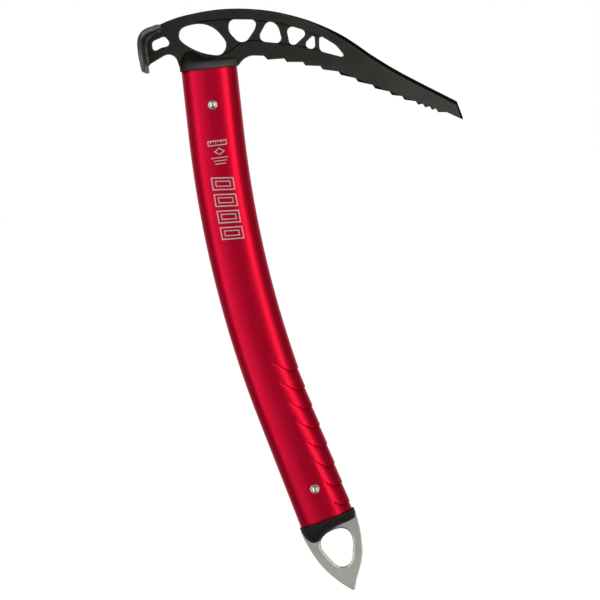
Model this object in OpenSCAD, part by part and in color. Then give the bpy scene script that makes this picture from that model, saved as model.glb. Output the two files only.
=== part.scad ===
// Compact ice axe: a forged head with a welded adze, a bent oval tube and a spike.
// Millimetres. The head lies in the XZ plane, the pick points to +X and +Z runs up the shaft.
// The origin is the centre of the leash eye in the head.

/* [Shaft] */
// Width of the oval tube, seen from the front
shaft_w = 32.6; // [30:0.2:36]
// Depth of the oval tube, front to back
shaft_d = 19; // [17:0.5:22]
// Wall of the tube
wall = 1.5; // [1.2:0.1:2]
// Straight length under the head
straight_len = 36; // [34:1:50]
// Radius of the bend, on the tube's axis
bend_r = 643; // [500:1:800]
// Angle of the bend
bend_angle = 15; // [8:1:18]
// Straight length of the grip above the spike
grip_len = 69; // [60:1:90]

/* [Grip flutes] */
// Number of pressed flutes along the grip
flute_count = 8; // [4:1:8]
// Distance between flutes along the axis
flute_pitch = 12.1; // [10:0.1:13]
// Depth of a flute at its deepest
flute_depth = 0.7; // [0.3:0.1:0.8]

/* [Head] */
// Thickness of the head at its rims
head_t = 5.6; // [5:0.2:7]
// Thickness of the pick at its tip
tip_t = 3.4; // [3:0.2:4.6]
// Depth of the forged panel on each side
panel_depth = 1.2; // [0.6:0.1:1.6]
// Width of the ground bevel along the top of the pick
pick_bevel = 1.9; // [1:0.1:2.2]

/* [Adze] */
// Thickness of the adze plate
adze_t = 3; // [2.6:0.1:3.4]
// Width of the adze where it is welded at the top
adze_top_w = 26; // [20:1:32]
// Width of the adze at its cutting edge
adze_edge_w = 46; // [38:1:56]

/* [Spike] */
// Thickness of the spike blade
spike_t = 3; // [2.6:0.1:4]

/* [Rivets] */
// Diameter of a rivet's shank
rivet_shank_d = 4; // [3.2:0.1:4.8]
// Diameter of a rivet's head
rivet_head_d = 5.8; // [5.4:0.1:7]
// Distance of the head's rivet from the upper end of the tube
head_rivet_inset = 21; // [16:0.5:22]
// Distance of the spike's rivet from the lower end of the tube
spike_rivet_inset = 19.5; // [16:0.5:22]

/* [Hidden] */
$fn = 96;

shaft_x = 1.6;                    // the tube's axis, from the eye
top_z = -17.6;                    // upper end of the tube
bend_z = top_z - straight_len;    // where the bend starts
bend_x = shaft_x + bend_r;        // centre of the bend
bend_fn = 720;                    // segments of a full circle at the bend's radius
plug_depth = 31;                  // how far each plug reaches into the tube
tang_depth = 29;                  // how far each tang reaches into the tube
tang_w = 20;
flange = 0.8;                     // how far a plug stands proud of the tube
collar_t = 2.4;                   // height of a plug's closed rim
weld_leg = 2;
rivet_head_h = 0.9;
reach = 60;                       // longer than any cut has to be
oval_power = 2.4;                 // roundness of the tube's section, 2 is an ellipse
first_flute = 4.4;                // lowest flute, from the lower end of the tube

red = [0.72, 0.02, 0.08];
black = [0.13, 0.13, 0.13];
moulded = [0.09, 0.09, 0.09];
steel = [0.72, 0.71, 0.68];

// ---------- outlines ----------

function unit(v) = v / norm(v);
function flat(p) = [p[0], p[1]];

// A closed outline of corners [x, z, r], each rounded by an arc of radius r
function rounded(corners) =
    let (n = len(corners))
    [for (i = [0:n - 1])
        let (p = flat(corners[i]),
             r = corners[i][2],
             u = unit(flat(corners[(i + n - 1) % n]) - p),
             v = unit(flat(corners[(i + 1) % n]) - p),
             half = acos(u * v) / 2,
             turn = 180 - 2 * half,
             centre = p + unit(u + v) * r / sin(half),
             a = p + u * r / tan(half) - centre,
             b = p + v * r / tan(half) - centre,
             steps = max(2, ceil(turn / 12)))
        each r == 0 ? [p] :
            [for (j = [0:steps])
                centre + (a * sin(turn * (1 - j / steps)) + b * sin(turn * j / steps)) / sin(turn)]];

// A smooth open curve through the points p, with k segments from each to the next
function curve(p, k = 4) =
    let (last = len(p) - 1)
    [for (i = [0:last - 1], j = [0:k - 1])
        let (a = p[max(0, i - 1)], b = p[i], c = p[i + 1], d = p[min(last, i + 2)], t = j / k)
        (2 * b + (c - a) * t + (2 * a - 5 * b + 4 * c - d) * t * t
            + (3 * b - a - 3 * c + d) * t * t * t) / 2,
     p[last]];

// The same through the points of a closed loop
function loop(p, k = 4) =
    let (n = len(p), turns = curve(concat([p[n - 1]], p, [p[0], p[1]]), k))
    [for (i = [k:(n + 1) * k - 1]) turns[i]];

function reversed(p) = [for (i = [len(p) - 1:-1:0]) p[i]];

// The tube's section: a full, slightly squared oval whose narrow and broad sides end in short flats
function signed_pow(v) = sign(v) * pow(abs(v), 2 / oval_power);
function oval(w, d, n = 40) =
    let (flats = signed_pow(cos(180 / n)))
    [for (i = [0.5:n])
        [w / 2 * signed_pow(cos(360 * i / n)) / flats,
         d / 2 * signed_pow(sin(360 * i / n)) / flats]];

// Distance from the axis to the oval's tangent whose normal is turned by angle
function oval_reach(angle) =
    let (q = oval_power / (oval_power - 1))
    pow(pow(shaft_w / 2 * cos(angle), q) + pow(shaft_d / 2 * sin(abs(angle)), q), 1 / q);

// ---------- placing ----------

// Stands an outline drawn as [x, z] upright and gives it the thickness t, centred on y = 0
module upright(t) {
    rotate([90, 0, 0])
        translate([0, 0, -t / 2])
            linear_extrude(t)
                children();
}

// Moves to the point of the shaft's axis that lies s above the lower end, +z up the axis
module on_shaft(s) {
    turned = max(0, s - grip_len) / bend_r * 180 / PI;
    translate([bend_x, 0, bend_z])
        rotate([0, turned - bend_angle, 0])
            translate([-bend_r, 0, min(0, s - grip_len)])
                children();
}

// The solid oval of the whole shaft, smaller than the tube by inset all round
module shaft_core(inset, past = 0) {
    w = shaft_w - 2 * inset;
    d = shaft_d - 2 * inset;
    translate([shaft_x, 0, bend_z])
        linear_extrude(straight_len + past)
            polygon(oval(w, d));
    translate([bend_x, 0, bend_z])
        rotate([90, 0, 0])
            rotate([0, 0, 180])
                rotate_extrude(angle = bend_angle, $fn = bend_fn)
                    translate([bend_r, 0])
                        polygon(oval(w, d));
    on_shaft(0)
        translate([0, 0, -past])
            linear_extrude(grip_len + past)
                polygon(oval(w, d));
}

// Moves to a rivet's place, with z turned front to back
module at_head_rivet() {
    translate([shaft_x, 0, top_z - head_rivet_inset])
        rotate([90, 0, 0])
            children();
}

module at_spike_rivet() {
    on_shaft(spike_rivet_inset)
        rotate([90, 0, 0])
            children();
}

module rivet_hole() {
    cylinder(d = rivet_shank_d, h = reach, center = true);
}

// ---------- shaft ----------

// One pressed flute: a shallow wedge that is deepest at its upper end
module flute() {
    for (side = [-50, 0, 50])
        rotate([0, 0, side])
            upright(2 * shaft_d)
                polygon([[oval_reach(side) - flute_depth, 0],
                         [shaft_w, 0],
                         [shaft_w, -flute_pitch],
                         [oval_reach(side), -flute_pitch]]);
}

module shaft_tube() {
    color(red)
        difference() {
            shaft_core(0);
            shaft_core(wall, past = 1);
            for (i = [0:flute_count - 1])
                on_shaft(first_flute + i * flute_pitch)
                    flute();
            at_head_rivet()
                rivet_hole();
            at_spike_rivet()
                rivet_hole();
        }
}

// ---------- head ----------

pick_end = [143.2, -51.9];        // upper corner of the pick's blunt end
pick_tip = [145.5, -62.8];

// Crown and top of the pick, from the adze to the blunt end
crown = curve([[-27, 10.2], [-18, 13], [-8.9, 14.8], [6, 16.1], [19.5, 15.7], [33.4, 13.7],
               [46, 10.5], [59.6, 5.4], [70, 0.2], [80.2, -6.1], [88, -12.2], [98, -20.8],
               [113.8, -32.6], pick_end], 3);

// Where each tooth's point lies along the pick, and the line that the points follow
teeth_x = [36, 47, 57.6, 67.4, 77.6, 87.1, 96.6, 106, 113, 120.6, 124.5, 128.4, 131.8];
tooth_line = [[36, -15.8], [47, -18.4], [57.6, -21.6], [67.4, -25], [77.6, -29.3],
              [106, -44.2], [131.8, -57]];
tooth_run = 1.2;                  // the steep face of a tooth leans by this much
tooth_rise = [[36, 1.6], [42, 2.2]];    // its height, lower at the first tooth
function tooth(x) =
    [[x, lookup(x, tooth_line)],
     [x - tooth_run, lookup(x, tooth_line) + lookup(x, tooth_rise)]];

shoulder_z = top_z + collar_t;    // underside of the head's neck, inside the plug
tang_end = top_z - tang_depth;
tang_side = tang_w / 2;

head_outline = rounded(concat(
    [for (p = crown) [p[0], p[1], 0]],
    [[pick_tip[0] + 0.2, pick_tip[1] + 1.2, 0], [pick_tip[0], pick_tip[1], 0], [136.8, -57.6, 2]],
    [for (x = reversed(teeth_x), p = tooth(x)) [p[0], p[1], 0]],
    [[33.9, -13.3, 1], [23.9, -12, 9.5], [18.9, -17.2, 0], [18.8, shoulder_z, 0],
     [shaft_x + tang_side, shoulder_z, 0], [shaft_x + tang_side, tang_end, 3],
     [shaft_x - tang_side, tang_end, 3], [shaft_x - tang_side, shoulder_z, 0],
     [-15.3, shoulder_z, 0.5], [-17.8, -4.3, 5.5], [-32.7, -11.2, 12], [-36.2, -13.3, 0],
     [-36.2, 4, 4], [-33.5, 8.2, 2]]));

leash_eye = loop([[-13.8, 3.2], [-11.6, 7.6], [-4.6, 9.2], [1.6, 8.5], [7.2, 5.4], [11.3, 0.2],
                  [13, -3.8], [11.8, -7.8], [8.3, -10.1], [1.3, -8.7], [-5.7, -5.5], [-11.9, -0.7]], 3);

// Lightening holes behind the eye, then the slot beside the adze
windows = [
    [[16.4, 9.9, 3.5], [32.4, 8, 2.9], [30.7, 2.6, 9], [22.6, -6.9, 4.8], [15, 3, 7]],
    [[38.9, 7.5, 3.6], [44.3, 3.2, 7.6], [45.9, -7.6, 2.9], [30.7, -4.4, 3.6]],
    [[48.8, 3.4, 3], [62, -2.3, 2.7], [50.1, -11.2, 2.6]],
    [[64.8, -3.9, 1.1], [64.4, -12.8, 2.2], [55.6, -11.1, 2.7]],
    [[67.5, -4.8, 1.4], [76.7, -11.8, 13.3], [81.9, -20, 1.1], [66.7, -14.2, 3.3]],
    [[-22.1, 4.3, 2.2], [-18.4, -1.6, 2.1], [-25, -2.4, 5], [-30.1, -4.8, 2], [-29.8, 1.9, 2.3]]];

bevel_depth = 1;                  // how far the pick's bevels cut into its thickness
first_bevel = 24;                 // the crown's segment where the bevel of the top starts
tooth_bevel = [[133, -56.7], [76, -26.8]];    // where the bevel of the teeth starts

// Forged panel, thinner than the rims above and below it
panel = concat(
    curve([[-3, 9.9], [5.4, 10.2], [14.2, 9.8], [31.9, 7.3], [43.9, 4.6], [51, 2.2],
           [59.5, -1.7], [69, -6.5]], 3),
    curve([[69, -14.3], [57.4, -10.9], [44.2, -7.3], [31, -4.3], [25, -3.9], [19.3, -6],
           [13.3, -9.1], [7, -10.8], [-3, -11.4]], 3));

// The adze plate seen edge on, thinner at its cutting edge
adze_edge_t = 2.1;
adze_profile = rounded([[-23.4, 11.5, 0.8], [-37.8, 7.3, 8], [-37.5, -4.9, 40], [-36.4, -15.8, 0.6],
                        [-36.4 + adze_edge_t, -15.7, 0.6], [-37.5 + adze_t, -4.9, 37],
                        [-37.8 + adze_t, 5.1, 5], [-22.5, 11.5 - adze_t, 0.8]]);

// Cuts a bevel along both sides of the edge from a to b, where the body lies on its right.
// It reaches w down each face and depth into the thickness, and clears over beyond the edge.
module bevel(a, b, w, depth, thickness, over = 0) {
    run = b - a;
    lean = atan2(w, depth);
    size = 2 * (w + over);
    for (side = [0, 1])
        mirror([0, side, 0])
            translate([a[0], -thickness / 2, a[1]])
                rotate([0, -atan2(run[1], run[0]), 0])
                    rotate([lean, 0, 0])
                        translate([-1, -size, -w * cos(lean)])
                            cube([norm(run) + 2, 2 * size, size]);
}

// Half of the head's thickness: even over the eye, thinning along the pick
taper_x = 60;                     // where the thinning starts
pick_x = pick_tip[0];
function head_half(x) = lookup(x, [[taper_x, head_t / 2], [pick_x, tip_t / 2]]);

module head_thickness() {
    side = [[-reach, head_t / 2], [taper_x, head_t / 2], [pick_x, tip_t / 2], [pick_x + 1, tip_t / 2]];
    translate([0, 0, -2 * reach])
        linear_extrude(4 * reach)
            polygon(concat(side, [for (p = reversed(side)) [p[0], -p[1]]]));
}

module head_blade() {
    color(black)
        difference() {
            intersection() {
                upright(2 * head_t)
                    difference() {
                        polygon(head_outline);
                        polygon(leash_eye);
                        for (corners = windows)
                            polygon(rounded(corners));
                        polygon(adze_profile);
                    }
                head_thickness();
            }
            for (side = [0, 1])
                mirror([0, side, 0])
                    translate([0, -head_t / 2, 0])
                        upright(2 * panel_depth)
                            polygon(panel);
            for (i = [first_bevel:len(crown) - 2])
                bevel(crown[i], crown[i + 1], pick_bevel, bevel_depth, 2 * head_half(crown[i][0]));
            bevel(pick_end, pick_tip, pick_bevel / 2, bevel_depth, tip_t);
            bevel(tooth_bevel[0], tooth_bevel[1], bevel_depth / 4, bevel_depth / 4,
                  2 * head_half(tooth_bevel[1][0]), over = 3);
            at_head_rivet()
                rivet_hole();
        }
}

// The adze's shape seen square on: a flared plate with rounded corners at its edge
module adze_plate() {
    color(black)
        intersection() {
            upright(adze_edge_w + 2)
                polygon(adze_profile);
            rotate([90, 0, 90])
                translate([0, 0, -reach])
                    linear_extrude(2 * reach)
                        polygon(rounded([[-adze_top_w / 2, 13, 2], [adze_top_w / 2, 13, 2],
                                         [adze_edge_w / 2, -6, 12], [adze_edge_w / 2, -16.2, 2.8],
                                         [-adze_edge_w / 2, -16.2, 2.8], [-adze_edge_w / 2, -6, 12]]));
        }
}

// A fillet weld in the corner between the adze and one face of the head
module weld_bead(side) {
    color([0.3, 0.3, 0.31])
        translate([0, side * (head_t + weld_leg) / 2, 0])
            upright(weld_leg)
                difference() {
                    polygon(rounded([[-22.4, 10.7, 0], [-35.6, 10.7, 0], [-35.6, -12.2, 0],
                                     [-34.4 + weld_leg, -12, 1], [-34.6 + weld_leg, 3.6, 3.4],
                                     [-22.4, 6.7, 1]]));
                    polygon(adze_profile);
                    polygon([[-50, 20], [-20, 20], [-23, 9.2], [-33, 6.2], [-37.6, 2.2], [-37.6, -20],
                             [-50, -20]]);
                }
}

module weld_bead_front() {
    weld_bead(-1);
}

module weld_bead_back() {
    weld_bead(1);
}

// ---------- plugs ----------

// Half depths of a plug's cheeks at three heights above the tube's end
function cheek_side(height, blade_t) =
    let (foot = shaft_d / 2 + flange, lip = blade_t / 2 + 1)
    [[-foot, 0], [foot, 0], [foot, height * 0.2], [foot * 0.86, height * 0.42],
     [lip + 1.2, height * 0.8], [lip, height], [-lip, height], [-lip - 1.2, height * 0.8],
     [-foot * 0.86, height * 0.42], [-foot, height * 0.2]];

// A moulded end plug, standing on the tube's end at z = 0 with its stem inside the tube
module plug(cheek, height, blade_t, rivet_depth) {
    difference() {
        union() {
            intersection() {
                linear_extrude(height)
                    polygon(oval(shaft_w + 2 * flange, shaft_d + 2 * flange));
                upright(reach)
                    polygon(cheek);
                rotate([90, 0, 90])
                    translate([0, 0, -reach])
                        linear_extrude(2 * reach)
                            polygon(cheek_side(height, blade_t));
            }
            translate([0, 0, -plug_depth])
                linear_extrude(plug_depth + 1)
                    polygon(oval(shaft_w - 2 * wall, shaft_d - 2 * wall));
        }
        translate([-reach, -blade_t / 2, collar_t])
            cube([2 * reach, blade_t, reach]);
        translate([-tang_w / 2, -blade_t / 2, -reach])
            cube([tang_w, blade_t, 2 * reach]);
        translate([0, 0, -rivet_depth])
            rotate([90, 0, 0])
                rivet_hole();
    }
}

head_cheek = rounded([[-17.4, 0, 0], [-17.2, 3.8, 3], [-12.4, 13.1, 2.8], [-0.4, 5.8, 14],
                      [16.5, 5.4, 1.2], [17.4, 0, 0]]);
spike_cheek = rounded([[17.4, 0, 0], [17.2, 6.5, 4], [10.8, 13, 3.2], [0.5, 7.2, 8],
                       [-16, 5.6, 1.8], [-17.4, 0, 0]]);

module head_plug() {
    color(moulded)
        translate([shaft_x, 0, top_z])
            plug(head_cheek, 12.6, head_t, head_rivet_inset);
}

module spike_plug() {
    color(moulded)
        on_shaft(0)
            rotate([0, 180, 0])
                plug(spike_cheek, 12, spike_t, spike_rivet_inset);
}

// ---------- spike ----------

// Edges of the spike from its shoulders to its point, seen from the middle of the tube's end
spike_right = curve([[17.1, -3.5], [16.3, -11.8], [14.7, -19.3], [12.6, -26], [9.7, -31.8],
                     [4.4, -39], [0.3, -45.4]], 3);
spike_left = curve([[-17.2, -3.5], [-16.9, -9], [-15, -19.1], [-12.2, -27.8], [-6.9, -37.8],
                    [-1, -45.7]], 3);
spike_outline = concat(
    [[-tang_side, -collar_t], [-tang_side, tang_depth], [tang_side, tang_depth],
     [tang_side, -collar_t], [17.2, -collar_t]],
    spike_right,
    reversed(spike_left),
    [[-17.2, -collar_t]]);
spike_eye = loop([[0, -8.2], [5, -8.6], [8.6, -10.9], [9.8, -14.8], [9, -19.2], [7.2, -23.6],
                  [4.9, -28.2], [2.2, -30.4], [-1.4, -30.7], [-4.9, -28.2], [-7.4, -22.6],
                  [-9.2, -17], [-8.9, -13], [-5.6, -9.4]], 2);

module spike_blade() {
    color(steel)
        on_shaft(0)
            difference() {
                upright(spike_t)
                    difference() {
                        polygon(spike_outline);
                        polygon(spike_eye);
                    }
                translate([0, 0, spike_rivet_inset])
                    rotate([90, 0, 0])
                        rivet_hole();
            }
}

// ---------- rivets ----------

// A rivet through the whole tube: a dimpled head in front and a formed head behind
module rivet() {
    seat = shaft_d / 2;
    top = seat + rivet_head_h;
    cap = [[rivet_shank_d / 2, seat], [rivet_head_d / 2, seat], [rivet_head_d / 2, seat + 0.4],
           [rivet_head_d / 2 - 0.6, top], [rivet_head_d / 4, top], [0, seat + 0.2]];
    rotate_extrude()
        polygon(concat(cap, [for (p = reversed(cap)) [p[0], -p[1]]]));
}

module head_rivet() {
    color(steel)
        at_head_rivet()
            rivet();
}

module spike_rivet() {
    color(steel)
        at_spike_rivet()
            rivet();
}

shaft_tube();
head_blade();
adze_plate();
weld_bead_front();
weld_bead_back();
head_plug();
head_rivet();
spike_blade();
spike_plug();
spike_rivet();
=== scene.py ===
import math

import bpy
import numpy as np
from mathutils import Matrix, Vector
from mathutils.geometry import delaunay_2d_cdt

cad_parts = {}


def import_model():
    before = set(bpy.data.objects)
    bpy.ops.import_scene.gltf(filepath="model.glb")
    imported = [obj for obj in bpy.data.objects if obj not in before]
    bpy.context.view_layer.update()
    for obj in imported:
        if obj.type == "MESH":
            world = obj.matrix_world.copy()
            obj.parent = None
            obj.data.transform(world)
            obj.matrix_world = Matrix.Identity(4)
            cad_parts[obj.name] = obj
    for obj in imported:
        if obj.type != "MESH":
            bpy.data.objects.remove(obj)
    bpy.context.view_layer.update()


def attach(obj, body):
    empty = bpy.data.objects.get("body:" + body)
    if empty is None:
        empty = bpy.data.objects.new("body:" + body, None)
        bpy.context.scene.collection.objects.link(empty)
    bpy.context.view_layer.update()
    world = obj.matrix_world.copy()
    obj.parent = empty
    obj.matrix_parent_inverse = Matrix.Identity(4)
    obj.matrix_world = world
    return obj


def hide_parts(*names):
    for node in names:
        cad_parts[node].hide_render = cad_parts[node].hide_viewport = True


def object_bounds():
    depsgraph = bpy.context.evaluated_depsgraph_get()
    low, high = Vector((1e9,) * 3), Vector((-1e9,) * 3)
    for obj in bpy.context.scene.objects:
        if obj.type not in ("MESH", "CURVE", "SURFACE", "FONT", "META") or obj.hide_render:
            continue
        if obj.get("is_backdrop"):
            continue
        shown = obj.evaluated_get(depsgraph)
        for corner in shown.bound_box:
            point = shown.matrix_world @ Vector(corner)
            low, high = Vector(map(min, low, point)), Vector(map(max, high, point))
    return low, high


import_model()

# Millimetres in the row frame: x to the pick, y through the thickness, z up the shaft.
MM = 0.001

# ---------------------------------------------------------------- the axe's own sizes
SHAFT_X, TOP_Z = 1.6, -17.6
SHAFT_W, SHAFT_D, WALL, MOUTH_R = 32.6, 19.0, 1.5, 0.3
STRAIGHT, BEND_R, BEND, GRIP = 36.0, 643.0, math.radians(15), 69.0
OVAL_POWER = 2.4
AROUND = 168                    # vertices round the tube and its collars
PORTION = 2000                  # points measured at a time, to save memory
LENGTH = GRIP + BEND_R * BEND + STRAIGHT
FLUTES, FLUTE_PITCH, FLUTE_DEPTH, FIRST_FLUTE = 8, 12.1, 0.7, 4.4
HEAD_T, TIP_T, TAPER_X, PANEL_DEPTH = 5.6, 3.4, 60.0, 1.2
SPIKE_T, TANG, TANG_DEPTH, FLANGE, PLUG_DEPTH = 3.0, 10.0, 29.0, 0.8, 31.0
RIVET_D, HEAD_RIVET_INSET, SPIKE_RIVET_INSET = 5.8, 21.0, 19.5
ADZE_TOP_W, ADZE_EDGE_W = 26.0, 46.0
PICK_END, PICK_TIP = (143.2, -51.9), (145.5, -62.8)


# ---------------------------------------------------------------- outlines
def curve(points, k):
    """A smooth open curve through the points, k segments from each to the next."""
    p = np.array(points, float)
    t = np.arange(k)[:, None] / k
    out = []
    for i in range(len(p) - 1):
        a, b, c, d = p[max(0, i - 1)], p[i], p[i + 1], p[min(len(p) - 1, i + 2)]
        out.append((2 * b + (c - a) * t + (2 * a - 5 * b + 4 * c - d) * t ** 2
                    + (3 * b - a - 3 * c + d) * t ** 3) / 2)
    return np.vstack(out + [p[-1:]])


def loop(points, k):
    """A smooth closed curve through the points, k segments from each to the next."""
    p = [tuple(q) for q in points]
    turns = curve([p[-1]] + p + p[:2], k)
    return turns[k:(len(p) + 1) * k]


def rounded(corners, chord=0.35):
    """A closed outline of corners (x, z, r), each rounded by an arc of radius r."""
    out, n = [], len(corners)
    for i, (x, z, r) in enumerate(corners):
        p = np.array((x, z), float)
        if r == 0:
            out.append(p)
            continue
        u = np.array(corners[i - 1][:2], float) - p
        v = np.array(corners[(i + 1) % n][:2], float) - p
        u, v = u / np.linalg.norm(u), v / np.linalg.norm(v)
        half = math.acos(max(-1, min(1, u @ v))) / 2
        turn = math.pi - 2 * half
        bis = (u + v) / np.linalg.norm(u + v)
        c = p + bis * r / math.sin(half)
        a, b = p + u * r / math.tan(half) - c, p + v * r / math.tan(half) - c
        steps = max(2, math.ceil(turn * r / chord))
        for j in range(steps + 1):
            f = j / steps
            out.append(c + (a * math.sin(turn * (1 - f)) + b * math.sin(turn * f)) / math.sin(turn))
    return np.array(out)


def subdivided(poly, step):
    """The closed outline, its sides split until none is longer than step."""
    out = []
    for a, b in zip(poly, np.roll(poly, -1, 0)):
        n = max(1, math.ceil(np.linalg.norm(b - a) / step))
        out.extend(a + (b - a) * i / n for i in range(n))
    return np.array(out)


def area(poly):
    """Area of the closed outline, below 0 if it runs clockwise."""
    x, z = poly[:, 0], poly[:, 1]
    return (x @ np.roll(z, -1) - z @ np.roll(x, -1)) / 2


def distance(q, poly, closed=True):
    """Distance of each point of q to the polyline."""
    a = poly if closed else poly[:-1]
    b = np.roll(poly, -1, 0) if closed else poly[1:]
    best = np.empty(len(q))
    ab = b - a
    ll = np.maximum((ab ** 2).sum(1), 1e-12)
    for i in range(0, len(q), PORTION):
        w = q[i:i + PORTION, None, :] - a[None]
        t = np.clip((w * ab[None]).sum(2) / ll, 0, 1)
        d = w - t[..., None] * ab[None]
        best[i:i + PORTION] = np.sqrt((d ** 2).sum(2).min(1))
    return best


def inside(q, poly):
    """Which of the points q lie inside the closed outline."""
    x, z = q[:, 0][:, None], q[:, 1][:, None]
    ax, az = poly[:, 0][None], poly[:, 1][None]
    bx, bz = np.roll(poly, -1, 0)[:, 0][None], np.roll(poly, -1, 0)[:, 1][None]
    out = np.zeros(len(q), bool)
    for i in range(0, len(q), PORTION):
        s = slice(i, i + PORTION)
        up = (az > z[s]) != (bz > z[s])
        cross = x[s] < (bx - ax) * (z[s] - az) / np.where(bz == az, 1e-12, bz - az) + ax
        out[s] = (np.sum(up & cross, 1) % 2) == 1
    return out


def smooth(t):
    """From 0 to 1 as t does, level at both ends."""
    t = np.clip(t, 0, 1)
    return t * t * (3 - 2 * t)


def left_of(line):
    """Unit vectors to the left of an open line, one at each of its points."""
    t = np.gradient(line, axis=0)
    t /= np.linalg.norm(t, axis=1)[:, None]
    return np.stack([-t[:, 1], t[:, 0]], 1)


def lengths(line):
    """How far along the line each of its points lies."""
    return np.concatenate([[0], np.cumsum(np.linalg.norm(np.diff(line, axis=0), axis=1))])


def round_off(d, r):
    """What a rim rounded to the radius r loses at the distance d from it."""
    return np.where(d < r, r - np.sqrt(np.maximum(0, r * r - (r - d) ** 2)), 0)


# ---------------------------------------------------------------- mesh building
def make(name, verts, faces, slot, material, replaces=(), sharp=38, **values_at):
    """A piece of the axe from vertices in millimetres, with named values at its vertices."""
    me = bpy.data.meshes.new(name)
    me.from_pydata([tuple(float(c) * MM for c in v) for v in verts], [], faces)
    me.validate()
    me.update()
    for key, values in values_at.items():
        me.attributes.new(key, "FLOAT", "POINT").data.foreach_set("value", np.asarray(values, np.float32))
    me.polygons.foreach_set("use_smooth", [True] * len(me.polygons))
    me.set_sharp_from_angle(angle=math.radians(sharp))
    ob = bpy.data.objects.new(name, me)
    bpy.context.scene.collection.objects.link(ob)
    me.materials.append(material)
    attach(ob, "root")
    if replaces:
        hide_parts(*replaces)
    return ob


def swept(rings, closed_ends=True):
    """Vertices and faces of a skin over rings of equally many points."""
    n = len(rings[0])
    verts = np.vstack(rings)
    faces = []
    for r in range(len(rings) - 1):
        a, b = r * n, (r + 1) * n
        faces += [(a + j, a + (j + 1) % n, b + (j + 1) % n, b + j) for j in range(n)]
    if closed_ends:
        faces.append(tuple(range(n))[::-1])
        last = (len(rings) - 1) * n
        faces.append(tuple(last + j for j in range(n)))
    return verts, faces


def into(rim, after):
    """From each point of closed rims, the way into the material and how much further a mitre reaches."""
    before = np.empty(len(rim), int)
    before[after] = np.arange(len(rim))
    e1, e2 = rim[after] - rim, rim - rim[before]
    n1 = np.stack([-e1[:, 1], e1[:, 0]], 1) / np.linalg.norm(e1, axis=1)[:, None]
    n2 = np.stack([-e2[:, 1], e2[:, 0]], 1) / np.linalg.norm(e2, axis=1)[:, None]
    way = n1 + n2
    way /= np.maximum(np.linalg.norm(way, axis=1), 1e-6)[:, None]
    return way, 1 / np.maximum((way * n1).sum(1), 0.5)


def spaced_out(points, rows, gap, grid_gap):
    """The points that are gap away from all those kept before them, or grid_gap once rows are kept."""
    kept, cells = [], {}
    cell = 0.5                                   # wider than both gaps
    for q in points:
        near = grid_gap if len(kept) >= rows else gap
        i, j = int(q[0] // cell), int(q[1] // cell)
        if any((q[0] - p[0]) ** 2 + (q[1] - p[1]) ** 2 < near * near
               for di in (-1, 0, 1) for dj in (-1, 0, 1) for p in cells.get((i + di, j + dj), ())):
            continue
        cells.setdefault((i, j), []).append(q)
        kept.append(q)
    return kept


def solid_faces(tris, walls):
    """The triangles on the material's side of the walls, and those reached without crossing a wall."""
    owner = {(t[i], t[(i + 1) % 3]): k for k, t in enumerate(tris) for i in range(3)}
    todo = [owner[e] for e in walls]
    solid = set(todo)
    while todo:
        t = tris[todo.pop()]
        for a, b in ((t[0], t[1]), (t[1], t[2]), (t[2], t[0])):
            k = owner.get((b, a))
            if (a, b) not in walls and k is not None and k not in solid:
                solid.add(k)
                todo.append(k)
    return [tris[k] for k in sorted(solid)]


def plate(outer, holes, half, rings, step, features=()):
    """A solid plate in the XZ plane, with holes through it.

    half(q, d) gives half its thickness at the points q, which lie d from the nearest edge.
    Rows of points run inside the rim at the distances in rings, and beside each line in features.
    A triangular grid of the pitch step fills the rest.
    """
    loops = [subdivided(outer if area(outer) > 0 else outer[::-1], step * 0.75)]
    loops += [subdivided(p if area(p) < 0 else p[::-1], step * 0.6) for p in holes]
    rim = np.vstack(loops)
    after = np.concatenate([np.roll(np.arange(len(p)), -1) + s for p, s in
                            zip(loops, np.cumsum([0] + [len(p) for p in loops[:-1]]))])

    def rim_distance(q):
        return np.min([distance(q, p) for p in loops], 0)

    def within(q):
        ok = inside(q, loops[0])
        for p in loops[1:]:
            ok &= ~inside(q, p)
        return ok

    way, reach = into(rim, after)
    rows = []
    for d in rings:
        q = rim + way * (reach * d)[:, None]
        rows.append(q[(rim_distance(q) > 0.9 * d) & within(q)])
    for line, offsets in features:
        for o in offsets:
            q = line + left_of(line) * o
            rows.append(q[within(q) & (rim_distance(q) > rings[-1] * 0.6)])
    lo, hi = loops[0].min(0), loops[0].max(0)
    xs = np.arange(lo[0], hi[0], step)
    zs = np.arange(lo[1], hi[1], step * 0.866)
    grid = np.array([(x + (step / 2 if j % 2 else 0), z) for j, z in enumerate(zs) for x in xs])
    grid = grid[within(grid)]
    grid = grid[rim_distance(grid) > rings[-1] + step * 0.35]
    kept = spaced_out(np.vstack(rows + [grid]), sum(len(e) for e in rows), 0.16, step * 0.45)

    edges = [(i, int(after[i])) for i in range(len(rim))]
    out = delaunay_2d_cdt([Vector(p) for p in np.vstack([rim, kept])], edges, [], 0, 1e-5)
    pts = np.array([tuple(v) for v in out[0]])
    origin = {old: new for new, olds in enumerate(out[3]) for old in olds}
    walls = {(origin[a], origin[b]) for a, b in edges}
    front = solid_faces([tuple(f) for f in out[2]], walls)
    d = rim_distance(pts)
    d[d < 1e-4] = 0
    h = half(pts, d)
    m = len(pts)
    verts = np.vstack([np.stack([pts[:, 0], y, pts[:, 1]], 1) for y in (-h, h)])
    faces = front + [tuple(i + m for i in t[::-1]) for t in front]
    for a, b in edges:
        a, b = origin[a], origin[b]
        faces.append((b, a, a + m, b + m))
    return verts, faces, np.concatenate([d, d])


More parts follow.
